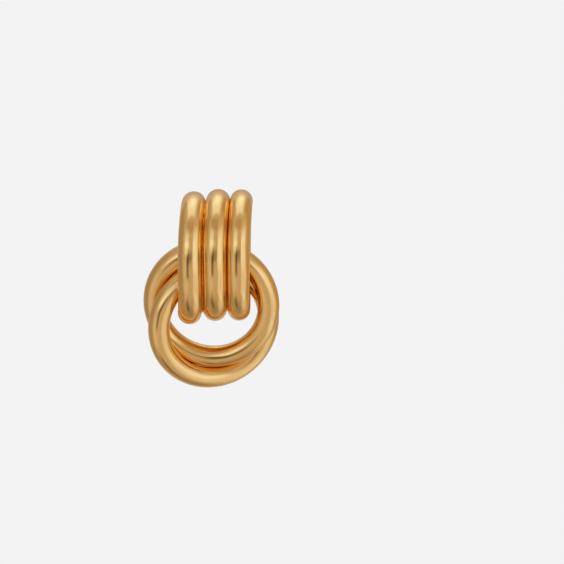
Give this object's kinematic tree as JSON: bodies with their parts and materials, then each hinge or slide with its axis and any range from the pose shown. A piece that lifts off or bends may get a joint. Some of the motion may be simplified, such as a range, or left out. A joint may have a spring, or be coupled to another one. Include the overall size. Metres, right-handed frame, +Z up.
{
  "type": "knot drop earring",
  "caption": "Knot earring: soldered tube loops on an ear post, with linked round tube rings hanging through them, in polished gold.",
  "frame": {"origin": "the seat of the ear post: the middle of the pad face that meets the ear lobe", "axes": "+Y along the ear post towards the back, -Y the way the earring faces, +Z up, +X to the right as seen from the front"},
  "size_m": [0.0244, 0.0301, 0.0366],
  "materials": {
    "polished_gold_loops": "polished gold plate",
    "polished_gold_post": "polished gold plate",
    "polished_gold_rings": "polished gold plate"
  },
  "bodies": {
    "loops": {"bar_loops": "polished_gold_loops", "ear_post": "polished_gold_post"},
    "drop": {"ring_rear": "polished_gold_rings", "ring_front": "polished_gold_rings"}
  },
  "joints": [
    {"name": "drop_swing", "type": "hinge", "parent": "loops", "child": "drop", "pos_m": [0, -0.00972, -0.0072], "axis": [1, 0, 0], "range_deg": [-50, 10]}
  ]
}
